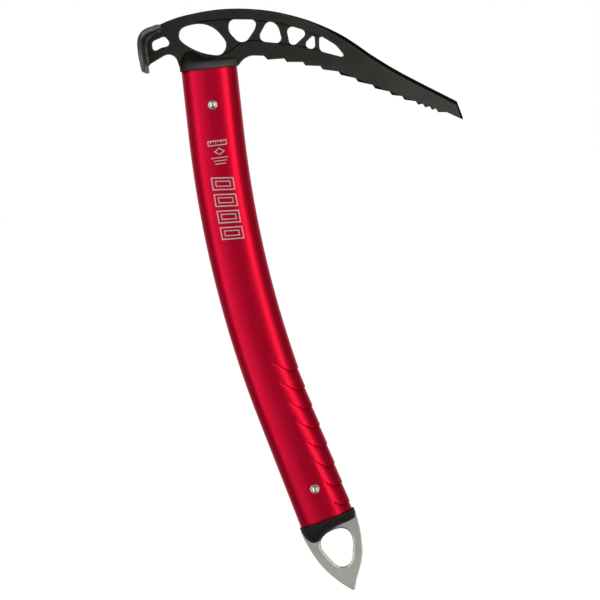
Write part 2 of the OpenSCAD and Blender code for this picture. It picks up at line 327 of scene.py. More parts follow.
# ---------------------------------------------------------------- shaft
def axis(s):
    """Point of the shaft's axis s above its lower end, and the unit vectors to the pick side and up."""
    s = np.asarray(s, float)
    turn = BEND - np.clip((s - GRIP) / BEND_R, 0, BEND)
    c = np.array([SHAFT_X + BEND_R, TOP_Z - STRAIGHT])
    n = np.stack([np.cos(turn), np.sin(turn)], -1)
    up = np.stack([-np.sin(turn), np.cos(turn)], -1)
    past = np.where(s < GRIP, s - GRIP, np.maximum(0, s - GRIP - BEND_R * BEND))
    return c - BEND_R * n + up * past[..., None], n, up


def oval(a, b, n):
    """n points of an oval of half width a and half depth b, and the outward normals there."""
    t = 2 * np.pi * (np.arange(n) + 0.5) / n
    c, s = np.cos(t), np.sin(t)
    x = a * np.sign(c) * np.abs(c) ** (2 / OVAL_POWER)
    y = b * np.sign(s) * np.abs(s) ** (2 / OVAL_POWER)
    nx = np.sign(x) * np.abs(x / a) ** (OVAL_POWER - 1) / a
    ny = np.sign(y) * np.abs(y / b) ** (OVAL_POWER - 1) / b
    k = np.hypot(nx, ny)
    return x, y, nx / k, ny / k


def oval_half(u, a, b):
    """Half the depth of that oval at the distance u from its middle."""
    return b * np.maximum(0, 1 - np.abs(u / a) ** OVAL_POWER) ** (1 / OVAL_POWER)


def on_shaft(u, y, s):
    """Points u to the pick side of the axis and y through the thickness, at s along the axis."""
    p, n, _ = axis(s)
    q = p + n * np.asarray(u, float)[..., None]
    return np.stack([q[..., 0], np.broadcast_to(y, q[..., 0].shape), q[..., 1]], -1)


def axis_at(z):
    """Place along the axis where it reaches the height z."""
    s = np.linspace(0, LENGTH, 2000)
    return float(np.interp(z, axis(s)[0][:, 1], s))


def shaft_rows():
    """Places along the axis, closest at the flutes' ledges."""
    rows = {0.0, 0.12, MOUTH_R, LENGTH, LENGTH - 0.12, LENGTH - MOUTH_R}
    rows |= set(np.arange(0.8, LENGTH, 2.4))
    steps = (-0.05, -0.16, -0.3, -0.45, -0.7, -1.1, -1.6, -2.4, -3.6, -5, -6.6, -8.2, -9.6, -10.8, -11.5,
             0.0, 0.06, 0.16)
    for i in range(FLUTES):
        at = FIRST_FLUTE + i * FLUTE_PITCH
        rows |= {at + d for d in steps if MOUTH_R < at + d < LENGTH - MOUTH_R}
    rows = sorted(rows)
    out = rows[:1]
    for r in rows[1:-1]:
        if r - out[-1] > 0.045 and rows[-1] - r > 0.045:
            out.append(r)
    return np.array(out + rows[-1:])


def flute_drop(level, inward):
    """How far the skin is pressed in, at the level along the axis and inward from the pick side."""
    drop = np.zeros(np.broadcast(level, inward).shape)
    shortest, longest, full = 9.0, 14.0, 3.2     # reach of the first and last flute, and of their full depth
    ledge, notch_depth, notch_fade = 0.28, 0.22, 0.42       # the step over each flute, and the line under it
    for i in range(FLUTES):
        end = shortest + (longest - shortest) * i / (FLUTES - 1)
        fade = np.clip((end - inward) / (end - full), 0, 1) ** 0.8
        crease = np.clip((end - inward) / 1.2, 0, 1)
        below = FIRST_FLUTE + i * FLUTE_PITCH - level
        ramp = np.where((below > 0) & (below < FLUTE_PITCH), 1 - below / FLUTE_PITCH, 0)
        ramp *= smooth(below / 0.3)
        notch = smooth(below / ledge) * np.exp(-np.maximum(below - ledge, 0) / notch_fade) * (below > 0)
        drop += (FLUTE_DEPTH - 0.12) * fade * ramp + notch_depth * crease * notch
    return drop


def shaft(material):
    """The tube: its fluted skin, both rounded mouths and the plain wall inside."""
    n = AROUND
    x, y, nx, ny = oval(SHAFT_W / 2, SHAFT_D / 2, n)
    inward = SHAFT_W / 2 - x
    # the flutes' ledges start level at the pick side, and climb from 4.4 mm in to 13.6 mm in
    level, far, soft = 4.4, 13.6, 0.8
    slant = np.minimum(inward, far) - level
    slant = 0.5 * (slant + np.sqrt(slant ** 2 + soft)) - 0.5 * (np.sqrt(level ** 2 + soft) - level)
    top = FIRST_FLUTE + (FLUTES - 1) * FLUTE_PITCH
    rings = []
    for row in shaft_rows():
        blend = smooth(row / 4.0) * (1 - smooth((row - top - 2) / 60))
        s = row + slant * blend
        drop = flute_drop(row, inward) + round_off(min(row, LENGTH - row), MOUTH_R)
        rings.append(on_shaft(x - nx * drop, y - ny * drop, s))
    xi, yi, _, _ = oval(SHAFT_W / 2 - WALL, SHAFT_D / 2 - WALL, n)
    for s in np.concatenate([[LENGTH], np.linspace(LENGTH - STRAIGHT, GRIP, 20), [0.0]]):
        rings.append(on_shaft(xi, yi, s))
    verts, faces = swept(rings, closed_ends=False)
    m = len(verts) - n
    faces += [(m + j, m + (j + 1) % n, (j + 1) % n, j) for j in range(n)]
    faces = [f[::-1] for f in faces]
    return make("shaft_tube_skin", verts, faces, "anodised_red", material, ["shaft_tube"], sharp=50)


# ---------------------------------------------------------------- head
CROWN = curve([(-27, 10.2), (-18, 13), (-8.9, 14.8), (6, 16.1), (19.5, 15.7), (33.4, 13.7), (46, 10.5),
               (59.6, 5.4), (70, 0.2), (80.2, -6.1), (88, -12.2), (98, -20.8), (113.8, -32.6), PICK_END], 12)
# the teeth's tips: how far out each one is, and the line they stand on
TEETH_X = [36, 47, 57.6, 67.4, 77.6, 87.1, 96.6, 106, 113, 120.6, 124.5, 128.4, 131.8]
TOOTH_LINE = ([36, 47, 57.6, 67.4, 77.6, 106, 131.8], [-15.8, -18.4, -21.6, -25, -29.3, -44.2, -57])
TOOTH_BEVEL = np.array([(76, -26.8), (133, -56.7)])
TOP_BEVEL_X = 36                # where the bevel on top of the pick starts
EYE = loop([(-13.8, 3.2), (-11.6, 7.6), (-4.6, 9.2), (1.6, 8.5), (7.2, 5.4), (11.3, 0.2), (13, -3.8),
            (11.8, -7.8), (8.3, -10.1), (1.3, -8.7), (-5.7, -5.5), (-11.9, -0.7)], 10)
WINDOWS = [
    [(16.4, 9.9, 3.5), (32.4, 8, 2.9), (30.7, 2.6, 9), (22.6, -6.9, 4.8), (15, 3, 7)],
    [(38.9, 7.5, 3.6), (44.3, 3.2, 7.6), (45.9, -7.6, 2.9), (30.7, -4.4, 3.6)],
    [(48.8, 3.4, 3), (62, -2.3, 2.7), (50.1, -11.2, 2.6)],
    [(64.8, -3.9, 1.1), (64.4, -12.8, 2.2), (55.6, -11.1, 2.7)],
    [(67.5, -4.8, 1.4), (76.7, -11.8, 13.3), (81.9, -20, 1.1), (66.7, -14.2, 3.3)],
    [(-22.1, 4.3, 2.2), (-18.4, -1.6, 2.1), (-25, -2.4, 5), (-30.1, -4.8, 2), (-29.8, 1.9, 2.3)]]
# the forged panel, sunk into both faces round the eye and the windows
PANEL_TOP = curve([(-3, 9.9), (5.4, 10.2), (14.2, 9.8), (31.9, 7.3), (43.9, 4.6), (51, 2.2), (59.5, -1.7),
                   (69, -6.5)], 10)
PANEL_LOW = curve([(69, -14.3), (57.4, -10.9), (44.2, -7.3), (31, -4.3), (25, -3.9), (19.3, -6),
                   (13.3, -9.1), (7, -10.8), (-3, -11.4)], 10)
PANEL = np.vstack([PANEL_TOP, PANEL_LOW])


def head_outline():
    """The blade's outline: crown, pick end, teeth, underside, tang and the adze's root."""
    lx, lz = TOOTH_LINE
    teeth = []
    for x in TEETH_X[::-1]:
        z = float(np.interp(x, lx, lz))
        teeth += [(x, z, 0.12), (x - 1.2, z + float(np.interp(x, [36, 42], [1.6, 2.2])), 0.15)]
    z = TOP_Z + 2.4
    low = [(33.9, -13.3, 1), (23.9, -12, 9.5), (18.9, -17.2, 0), (18.2, -17, 0), (18.1, z, 0),
           (SHAFT_X + TANG, z, 0), (SHAFT_X + TANG, TOP_Z - TANG_DEPTH, 3),
           (SHAFT_X - TANG, TOP_Z - TANG_DEPTH, 3), (SHAFT_X - TANG, z, 0), (-15.3, z, 0.5),
           (-17.8, -4.3, 5.5), (-32.7, -11.2, 12), (-35.2, -12.7, 0)]
    crown = [(x, z, 0) for x, z in CROWN]
    end = [(PICK_TIP[0] + 0.2, PICK_TIP[1] + 1.2, 0), (*PICK_TIP, 0), (136.8, -57.6, 2)]
    back = [(-36.2, 4, 4), (-33.5, 8.2, 2)]
    return rounded(crown + end + teeth + low + back, 0.3)


def top_bevel_width(x):
    """The bevel on top of the pick widens towards its end."""
    return np.interp(x, [38, 66, 80, 142], [0.35, 0.9, 2.1, 2.3])


def past_bevels(q):
    """How far the points q lie inside the bevels of the pick's edges and of its teeth, below 0 outside."""
    x = q[:, 0]
    outside = -9                                 # well outside, wherever there is no bevel
    top = np.where(x > TOP_BEVEL_X, top_bevel_width(x) - distance(q, CROWN, closed=False), outside)
    blunt = 1.1 - distance(q, np.array([PICK_END, PICK_TIP]), closed=False)
    a, b = TOOTH_BEVEL
    n = np.array([b[1] - a[1], a[0] - b[0]]) / np.linalg.norm(b - a)
    return np.maximum(top, blunt), np.where((x > 74) & (x < 133), (q - a) @ n, outside)


def head_bevel(q):
    """How deep the ground bevels of the pick cut at the points q."""
    edges, teeth = past_bevels(q)
    reach = np.interp(q[:, 0], [74, 79, 128, 133], [0, 1, 1, 0])
    return np.maximum(np.maximum(0, edges) * 0.55, np.clip(teeth, 0, 4) * 0.5 * reach)


def head_half(q, d):
    """Half the blade's thickness at the points q, d from the edge: taper, panel, bevels and rounded rim."""
    h = np.interp(q[:, 0], [TAPER_X, PICK_TIP[0]], [HEAD_T / 2, TIP_T / 2])
    side = np.where(inside(q, PANEL), 1, -1) * distance(q, PANEL)
    h = h - (PANEL_DEPTH - 0.15) * smooth(side / 0.9 + 0.5) - head_bevel(q)
    return np.maximum(h - round_off(d, 0.35), 0.5)


def head(material):
    """The forged blade, with rows of points along the panel's and the bevels' edges."""
    low = CROWN[CROWN[:, 0] > TOP_BEVEL_X]
    bevel_line = low - left_of(low) * top_bevel_width(low[:, 0])[:, None]
    teeth_line = np.linspace(TOOTH_BEVEL[0], TOOTH_BEVEL[1], 90)
    features = [(PANEL_TOP, (-0.55, -0.25, 0.05, 0.4)), (PANEL_LOW, (-0.55, -0.25, 0.05, 0.4)),
                (bevel_line, (-0.12, 0.12)), (teeth_line, (-0.15, 0.15))]
    verts, faces, d = plate(head_outline(), [EYE] + [rounded(w) for w in WINDOWS], head_half,
                            (0.06, 0.16, 0.35, 0.7), 0.95, features)
    ground = np.clip(np.maximum(*past_bevels(verts[:, ::2])), -3, 1)
    return make("head_forging", verts, faces, "forged_black", material, ["head_blade"],
                edge=np.exp(-d / 0.45), ground=ground)


def rounded_end(start, f):
    """From start at f = 0 to 1 at f = 1, along a quarter circle."""
    return start + (1 - start) * math.sqrt(1 - (1 - f) ** 2)


def adze(material):
    """A curved plate: the profile's middle line, with a rounded rim all round."""
    outer = curve([(-23.6, 11.35), (-28.1, 10.15), (-31.7, 9.2), (-34.6, 7.5), (-36.5, 4.9), (-37.5, 1.2),
                   (-37.55, -4.9), (-37.1, -10.5), (-36.5, -15.7)], 8)
    inner = curve([(-22.8, 8.4), (-27.2, 7.2), (-30.5, 6.3), (-32.8, 4.9), (-34.1, 3), (-34.6, 0.6),
                   (-34.6, -4.9), (-34.45, -10.4), (-34.3, -15.6)], 8)
    mid = (outer + inner) / 2
    run = lengths(mid)
    upper, lower, lower_z = 7, 2.5, -13.4        # rounding of the plate's corners, and where the lower starts
    r, half_t = 0.95, 1.5                        # rounding of the rim, and half the plate's thickness
    rings, edge, ground = [], [], []
    for i in range(len(mid)):
        z = mid[i][1]
        w = np.interp(z, [-6, 13], [ADZE_EDGE_W / 2, ADZE_TOP_W / 2])
        w += math.sqrt(upper ** 2 - max(0, upper - run[i]) ** 2) - upper
        if z < lower_z:
            w = ADZE_EDGE_W / 2 - lower + math.sqrt(max(0, lower ** 2 - (lower_z - z) ** 2))
        t = 0.5 * rounded_end(0.2, min(i, 5) / 5) * rounded_end(0.72, min(len(mid) - 1 - i, 3) / 3)
        across = (outer[i] - inner[i]) * t
        ring = []
        for sy, st in ((1, 1), (-1, 1), (-1, -1), (1, -1)):
            turn = np.linspace(0, 90, 6) if sy == st else np.linspace(90, 0, 6)
            for a in np.radians(turn):
                ring.append((sy * (w - r + r * math.cos(a)), st * (1 - r / half_t * (1 - math.sin(a)))))
            if sy * st == 1:
                ring += [(sy * (w - r) * f, st) for f in np.linspace(0.9, -0.9, 15)]
        for y, tau in ring:
            p = mid[i] + across * tau
            rings.append((p[0], y, p[1]))
            # partly edge wear, mostly a painted highlight along both sides, strongest at the top, and painted
            # shade darkening the inner face a little
            edge.append((2.6 + 1.6 * np.interp(z, [4, 8], [0, 1])) * math.exp(-(w - abs(y)) / 0.8))
            # painted shade: the inner face darker, near the weld
            ground.append(0.12 * np.interp(tau, [-0.9, -0.5], [1, 0]))
    n = len(ring)
    rings = [np.array(rings[i * n:(i + 1) * n]) for i in range(len(mid))]
    verts, faces = swept(rings)
    return make("adze_blade", verts, faces, "forged_black", material, ["adze_plate"], sharp=50,
                edge=edge, ground=ground)


def weld(side, name, node, material):
    """A fillet bead with its ripples, laid in the corner between the adze and one face."""
    path = curve([(-22.6, 8.5), (-25.2, 7.7), (-28.2, 6.6), (-31, 5.1), (-32.9, 2.9), (-33.9, -0.5),
                  (-34, -4.6), (-33.8, -9), (-33.5, -12)], 16)
    run = lengths(path)
    bead_r, run_out = 1.45, 1.6                  # its radius, and the length over which each end tapers
    rings = []
    for p, n, s in zip(path, -left_of(path), run):
        r = bead_r * (1 + 0.07 * math.cos(2 * math.pi * s / 1.15) + 0.06 * math.sin(s * 0.9)
                      + 0.04 * math.sin(s * 2.3))
        for to_end in (s, run[-1] - s):
            r *= math.sqrt(max(0.02, 1 - max(0, 1 - to_end / run_out) ** 2))
        ring = []
        for a in np.linspace(0, 2 * np.pi, 20, endpoint=False):
            u, v = r * math.cos(a), r * 0.9 * math.sin(a)
            ring.append((p[0] + n[0] * u, side * (HEAD_T / 2 + 0.1) + v, p[1] + n[1] * u))
        rings.append(np.array(ring))
    verts, faces = swept(rings)
    return make(name, verts, faces, "weld_black", material, [node])


# ---------------------------------------------------------------- plugs, spike, rivets
def plug(name, node, top, blade_t, place, sheen, material):
    """A moulded collar that rises over the blade's shoulders, on a stem inside the tube."""
    n = AROUND
    a, b = SHAFT_W / 2, SHAFT_D / 2
    xb, yb, nx, ny = oval(a, b, n)
    xi, yi, _, _ = oval(a - WALL, b - WALL, n)
    left, right = top[0][0], top[-1][0]
    xt = left + (xb + a) / (2 * a) * (right - left)
    fine = curve(top, 10)
    zt = np.interp(xt, fine[:, 0], fine[:, 1])
    rim_w, sunk = 0.55, 0.3                      # how far the rim stands off the blade, and reaches into it
    r, power = 0.35, 2.1                         # rounding of the flange, and how full the collar bulges
    yt = np.sign(yb) * np.minimum(np.abs(yb), blade_t / 2 + rim_w)
    rings = [(xi * 0.985, yi * 0.985, np.full(n, -PLUG_DEPTH)), (xi, yi, np.full(n, -PLUG_DEPTH + 0.5)),
             (xi, yi, np.zeros(n))]
    for turn in np.radians([-90, -60, -30, 0]):
        out = FLANGE - r + r * math.cos(turn)
        rings.append((xb + nx * out, yb + ny * out, np.full(n, r + r * math.sin(turn))))
    bx, by = xb + nx * FLANGE, yb + ny * FLANGE
    for v in (0.08, 0.17, 0.27, 0.38, 0.5, 0.61, 0.71, 0.8, 0.87, 0.93, 0.97, 0.992, 1.0):
        bulge = (1 - v ** power) ** (1 / power)
        x = xt + (bx - xt) * bulge
        y = yt + (by - yt) * bulge
        rings.append((x, y, np.maximum(v * zt, 0.36)))
    lip = np.sign(yt) * np.maximum(np.abs(yt) - 0.35, 0.02)     # never quite closed, so no two points meet
    rings.append((xt, lip, zt - 0.02))
    rings.append((xt, np.sign(yt) * np.minimum(np.abs(yt), blade_t / 2 - sunk), zt - 0.35))
    # painted sheen: paler on the shoulder, and towards the pick side
    lit = np.concatenate([np.interp(ring[2], [0, 1, 3.4, 5.2], [0.4, 1, 1, 0]) * sheen
                          * np.interp(xb, [-a, -0.55 * a, 0, a], [0.1, 0.3, 1, 0.95]) for ring in rings])
    rings = [place(*ring) for ring in rings]
    verts, faces = swept(rings, closed_ends=False)
    faces.append(tuple(range(n))[::-1])
    # the last ring is closed by a strip from its front half to its back half
    m = (len(rings) - 1) * n
    for j in range(n // 2 - 1):
        faces.append((m + j, m + j + 1, m + n - 2 - j, m + n - 1 - j))
    if place is spike_place:                     # it hangs the collar upside down, so the faces turn over
        faces = [f[::-1] for f in faces]
    return make(name, verts, faces, "moulded_black", material, [node], sharp=45, sheen=lit)


def head_place(x, y, z):
    """Points measured from the shaft's upper end, z up out of it."""
    return np.stack([SHAFT_X + x, y, TOP_Z + z], 1)


def spike_place(x, y, z):
    """Points measured from the shaft's lower end, z down out of it."""
    p, n, up = axis(0.0)
    q = p + np.outer(x, n) - np.outer(z, up)
    return np.stack([q[:, 0], y, q[:, 1]], 1)


SPIKE_RIGHT = curve([(17.1, -3.5), (16.3, -11.8), (14.7, -19.3), (12.6, -26), (9.7, -31.8), (4.4, -39),
                     (0.3, -45.4)], 10)
SPIKE_LEFT = curve([(-17.2, -3.5), (-16.9, -9), (-15, -19.1), (-12.2, -27.8), (-6.9, -37.8), (-1, -45.7)], 10)
SPIKE_EYE = loop([(0, -8.2), (5, -8.6), (8.6, -10.9), (9.8, -14.8), (9, -19.2), (7.2, -23.6), (4.9, -28.2),
                  (2.2, -30.4), (-1.4, -30.7), (-4.9, -28.2), (-7.4, -22.6), (-9.2, -17), (-8.9, -13),
                  (-5.6, -9.4)], 6)


def spike(material):
    """The spike's plate, from its tang inside the tube to its tip."""
    outer = np.vstack([[(-TANG, -2.4), (-TANG, TANG_DEPTH), (TANG, TANG_DEPTH), (TANG, -2.4), (17.2, -2.4)],
                       SPIKE_RIGHT, SPIKE_LEFT[::-1], [(-17.2, -2.4)]])
    chamfer = 0.8                                # its width round the eye

    def half(q, d):
        h = np.full(len(q), SPIKE_T / 2)
        h -= np.maximum(0, chamfer - distance(q, SPIKE_EYE)) * 0.55
        h -= round_off(distance(q, outer), 0.4)
        h -= np.clip((-36 - q[:, 1]) / 10, 0, 1) ** 2 * 0.45        # it thins over the last 10 mm
        return np.maximum(h, 0.35)

    verts, faces, d = plate(outer, [SPIKE_EYE], half, (0.1, 0.25, 0.45, 0.85), 1.1)
    p = spike_place(verts[:, 0], verts[:, 1], -verts[:, 2])
    return make("spike_plate", p, faces, "satin_steel", material, ["spike_blade"], edge=np.exp(-d / 0.5))


def rivet(name, node, s, material):
    """Lathed: a shank through the tube, and on each side a low head with a dimple."""
    seat = SHAFT_D / 2
    r = RIVET_D / 2
    cap = [(2.0, seat - 0.25), (r - 0.1, seat - 0.2), (r, seat), (r, seat + 0.34), (r - 0.1, seat + 0.56),
           (r - 0.3, seat + 0.72), (r - 0.5, seat + 0.79), (r - 0.7, seat + 0.79), (r - 0.85, seat + 0.72)]
    cap += [(rr, seat + 0.1 + 0.55 * (rr / 2) ** 2) for rr in (1.95, 1.7, 1.4, 1.1, 0.8, 0.5, 0.1)]
    profile = [(rr, -y) for rr, y in cap[::-1]] + cap
    p, n, up = axis(s)
    rings = []
    for rr, y in profile:
        a = np.linspace(0, 2 * np.pi, 40, endpoint=False)
        u, v = rr * np.cos(a), rr * np.sin(a)
        q = p + np.outer(u, n) + np.outer(v, up)
        rings.append(np.stack([q[:, 0], np.full(len(a), y), q[:, 1]], 1))
    verts, faces = swept(rings)
    return make(name, verts, [f[::-1] for f in faces], "rivet_steel", material, [node], sharp=60)


# ---------------------------------------------------------------- printed marks
def ribbon(points, width, closed):
    """A flat line of ink over the shaft's front, through points (across, along)."""
    p, step, raised = np.array(points, float), 0.9, 0.03
    if closed:
        p = subdivided(p, step)
    else:
        p = np.vstack([np.linspace(a, b, max(2, math.ceil(np.linalg.norm(b - a) / step) + 1))[:-1]
                       for a, b in zip(p[:-1], p[1:])] + [p[-1:]])
    nxt, prv = np.roll(p, -1, 0), np.roll(p, 1, 0)
    if not closed:
        nxt[-1], prv[0] = p[-1], p[0]
    e1 = (nxt - p) / np.maximum(np.linalg.norm(nxt - p, axis=1), 1e-9)[:, None]
    e2 = (p - prv) / np.maximum(np.linalg.norm(p - prv, axis=1), 1e-9)[:, None]
    if not closed:
        e1[-1], e2[0] = e2[-1], e1[0]
    n1, n2 = np.stack([-e1[:, 1], e1[:, 0]], 1), np.stack([-e2[:, 1], e2[:, 0]], 1)
    m = n1 + n2
    m /= np.linalg.norm(m, axis=1)[:, None]
    m /= np.maximum((m * n1).sum(1), 0.4)[:, None]
    a, b = p + m * width / 2, p - m * width / 2
    verts, k = [], len(p)
    for q, lift in ((a, raised), (b, raised), (b, -raised), (a, -raised)):
        y = -(oval_half(q[:, 0], SHAFT_W / 2, SHAFT_D / 2) + lift)
        verts.append(on_shaft(q[:, 0], y, q[:, 1]))
    faces = []
    for i in range(k if closed else k - 1):
        j = (i + 1) % k
        for c in range(4):
            d = (c + 1) % 4
            faces.append((c * k + i, d * k + i, d * k + j, c * k + j))
    if not closed:
        faces += [(0, k, 2 * k, 3 * k)[::-1], (k - 1, 2 * k - 1, 3 * k - 1, 4 * k - 1)]
    return np.vstack(verts), faces


def marks(material):
    """A ruled bar, a diamond, three bars and four slanted blocks in double outline: no lettering."""
    strokes = [([(-5.2, 1.3), (5.4, 1.3), (5.4, -1.3), (-5.2, -1.3)], 0.5, True)]
    for i in range(6):
        x, foot = -3.7 + 1.5 * i, (-0.2, 0.35)[i % 2]
        strokes.append(([(x, 1.2), (x, foot)], 0.42, False))
    strokes.append(([(-2, -5.0), (0.8, -3.2), (3.6, -5.0), (0.8, -6.8)], 0.5, True))
    for w, z in ((5.0, -8.6), (3.9, -10.4), (3.1, -12.2)):
        strokes.append(([(0.6 - w, z), (0.6 + w, z)], 0.45, False))
    at, base, pitch = axis_at(-60.9), axis_at(-80.6), 9.7
    strokes = [([(u, at + v) for u, v in pts], w, c) for pts, w, c in strokes]
    for s in [base - pitch * i for i in range(4)]:
        strokes.append(([(-6.0, s), (6.4, s - 1.6), (6.4, s - 8.4), (-6.0, s - 6.8)], 0.62, True))
        strokes.append(([(-3.9, s - 2.2), (4.3, s - 3.3), (4.3, s - 6.2), (-3.9, s - 5.1)], 0.5, True))
    verts, faces, k = [], [], 0
    for pts, w, c in strokes:
        v, f = ribbon(pts, w, c)
        verts.append(v)
        faces += [tuple(i + k for i in q) for q in f]
        k += len(v)
    return make("printed_marks", np.vstack(verts), faces, "anodised_red", material)


# ---------------------------------------------------------------- materials
class Mat:
    """A node material, built by a few short calls."""

    def __init__(self, name, **values):
        self.mat = bpy.data.materials.new(name)
        self.mat.use_nodes = True
        self.nt = self.mat.node_tree
        self.bsdf = self.nt.nodes["Principled BSDF"]
        for k, v in values.items():
            self.bsdf.inputs[k.replace("_", " ")].default_value = v
        self.coord = self.node("ShaderNodeTexCoord").outputs["Object"]

    def node(self, kind, **settings):
        n = self.nt.nodes.new(kind)
        for k, v in settings.items():
            setattr(n, k, v)
        return n

    def put(self, socket, value):
        if hasattr(value, "is_output"):
            self.nt.links.new(value, socket)
        else:
            socket.default_value = value

    def scaled(self, xyz):
        m = self.node("ShaderNodeMapping")
        self.put(m.inputs["Vector"], self.coord)
        m.inputs["Scale"].default_value = xyz
        return m.outputs[0]

    def noise(self, scale, detail=3.0, rough=0.55, stretch=None, distortion=0.0):
        n = self.node("ShaderNodeTexNoise")
        self.put(n.inputs["Vector"], self.scaled(stretch) if stretch else self.coord)
        n.inputs["Scale"].default_value = scale
        n.inputs["Detail"].default_value = detail
        n.inputs["Roughness"].default_value = rough
        n.inputs["Distortion"].default_value = distortion
        return n.outputs["Fac"]

    def remap(self, value, a, b, to0, to1):
        n = self.node("ShaderNodeMapRange")
        for i, v in enumerate((value, a, b, to0, to1)):
            self.put(n.inputs[i], v)
        return n.outputs[0]

    def spread(self, value, to0, to1):
        """Brings the range in which most of a noise lies to the range wanted."""
        return self.remap(value, 0.3, 0.7, to0, to1)

    def math(self, op, a, b):
        n = self.node("ShaderNodeMath", operation=op)
        self.put(n.inputs[0], a)
        self.put(n.inputs[1], b)
        return n.outputs[0]

    def mix(self, factor, a, b):
        n = self.node("ShaderNodeMix", data_type="RGBA", blend_type="MIX")
        # a colour mix has its factor, two colours and result at these places
        for place, value in ((0, factor), (6, a), (7, b)):
            self.put(n.inputs[place], value)
        return n.outputs[2]

    def attribute(self, name):
        return self.node("ShaderNodeAttribute", attribute_name=name).outputs["Fac"]

    def set(self, socket, value):
        self.put(self.bsdf.inputs[socket], value)

    def bump(self, height, strength, distance, under=None):
        n = self.node("ShaderNodeBump")
        n.inputs["Strength"].default_value = strength
        n.inputs["Distance"].default_value = distance
        self.put(n.inputs["Height"], height)
        if under:
            self.put(n.inputs["Normal"], under)
        return n.outputs[0]


def anodised():
    """Red anodised aluminium, its grain drawn out along the tube."""
    m = Mat("anodised_red_tube", Metallic=1.0, Coat_Weight=0.14, Coat_Roughness=0.3, Coat_IOR=1.6,
            Anisotropic=0.35)
    grain = m.noise(260, 4, 0.6, stretch=(1, 1, 0.04))
    broad = m.noise(22, 2, 0.5)
    m.set("Base Color", m.mix(m.spread(broad, 0, 1), (0.74, 0.0, 0.034, 1), (0.80, 0.0002, 0.04, 1)))
    m.set("Roughness", m.math("ADD", m.spread(grain, 0.3, 0.36), m.spread(broad, -0.015, 0.015)))
    fine = m.bump(grain, 0.05, 0.0002)
    m.set("Normal", m.bump(m.noise(1600, 2, 0.6), 0.05, 0.00008, fine))
    return m.mat


def forged():
    """Black coated steel: mottled, with edge wear, darker where ground; with painted light that pales the
    pick towards its end, a painted highlight along the adze's sides and painted shade on its inner face.
    """
    m = Mat("satin_black_forging")
    cloud = m.noise(28, 4, 0.6, distortion=0.3)
    speck = m.noise(900, 3, 0.65)
    place = m.node("ShaderNodeSeparateXYZ")
    m.put(place.inputs[0], m.coord)
    wavy = m.math("ADD", place.outputs["X"], m.spread(cloud, -0.012, 0.012))
    along = m.remap(wavy, 0.05, 0.14, 0, 1)      # painted light: the pick grows paler towards its end
    dark = m.mix(m.remap(cloud, 0.35, 0.68, 0, 1), (0.005, 0.006, 0.0045, 1), (0.024, 0.019, 0.011, 1))
    pale = m.mix(m.remap(cloud, 0.35, 0.68, 0, 1), (0.06, 0.059, 0.056, 1), (0.085, 0.084, 0.078, 1))
    tint = m.mix(along, dark, pale)
    tint = m.mix(m.remap(speck, 0.5, 0.75, 0, 0.4), tint, (0.05, 0.05, 0.048, 1))
    # edge wear near the blade's rims; the adze's larger edge values turn it into a painted highlight along
    # its sides
    wear_and_highlight = m.math("MULTIPLY", m.attribute("edge"), m.remap(m.noise(140, 4, 0.7), 0.4, 0.66, 0.1, 0.6))
    tint = m.mix(wear_and_highlight, tint, (0.12, 0.12, 0.116, 1))
    # painted highlight: the adze's sides, where the edge values pass 1.4, pale towards (0.42, 0.42, 0.4) in
    # streaks
    painted_highlight = m.remap(m.noise(90, 3, 0.6, stretch=(1, 1, 0.35)), 0.35, 0.65, 0.35, 1)
    painted_highlight = m.math("MULTIPLY", m.remap(m.attribute("edge"), 1.4, 4, 0, 1), painted_highlight)
    tint = m.mix(painted_highlight, tint, (0.42, 0.42, 0.4, 1))
    # darker and duller on the ground bevels; on the adze's inner face the same mask paints shade
    ground = m.remap(m.attribute("ground"), 0, 0.25, 0, 1)
    m.set("Base Color", m.mix(m.math("MULTIPLY", ground, 0.9), tint, (0.004, 0.004, 0.003, 1)))
    m.set("Specular IOR Level", m.remap(ground, 0, 1, 0.5, 0.08))
    m.set("Roughness", m.math("ADD", m.spread(cloud, 0.36, 0.46), m.spread(speck, -0.04, 0.05)))
    peel = m.bump(m.noise(420, 3, 0.55), 0.16, 0.00012)
    m.set("Normal", m.bump(cloud, 0.12, 0.0004, peel))
    return m.mat


def welded():
    """Coated weld with bright specks, which are painted glints."""
    m = Mat("coated_weld")
    cloud = m.noise(160, 4, 0.6)
    spots = m.noise(700, 3, 0.7)
    base = m.mix(m.remap(cloud, 0.35, 0.65, 0, 1), (0.05, 0.051, 0.053, 1), (0.16, 0.165, 0.17, 1))
    # painted glints: pale specks mixed into the colour
    m.set("Base Color", m.mix(m.remap(spots, 0.52, 0.7, 0, 0.85), base, (0.6, 0.6, 0.59, 1)))
    m.set("Roughness", m.spread(spots, 0.22, 0.42))
    m.set("Normal", m.bump(spots, 0.5, 0.0003, m.bump(cloud, 0.5, 0.0005)))
    return m.mat


def moulded():
    """Black plastic with a fine grain, paler where the vertices' painted sheen says so."""
    m = Mat("moulded_black", IOR=1.49)
    cloud = m.noise(60, 3, 0.5)
    grain = m.noise(1500, 2, 0.6)
    base = m.mix(m.remap(cloud, 0.35, 0.65, 0, 1), (0.009, 0.009, 0.008, 1), (0.014, 0.014, 0.012, 1))
    # painted sheen: the colour pales towards (0.17, 0.167, 0.158) where the vertices' value is high
    m.set("Base Color", m.mix(m.math("MULTIPLY", m.attribute("sheen"), 0.8), base, (0.17, 0.167, 0.158, 1)))
    m.set("Roughness", m.spread(cloud, 0.46, 0.54))
    m.set("Normal", m.bump(grain, 0.18, 0.00008))
    return m.mat


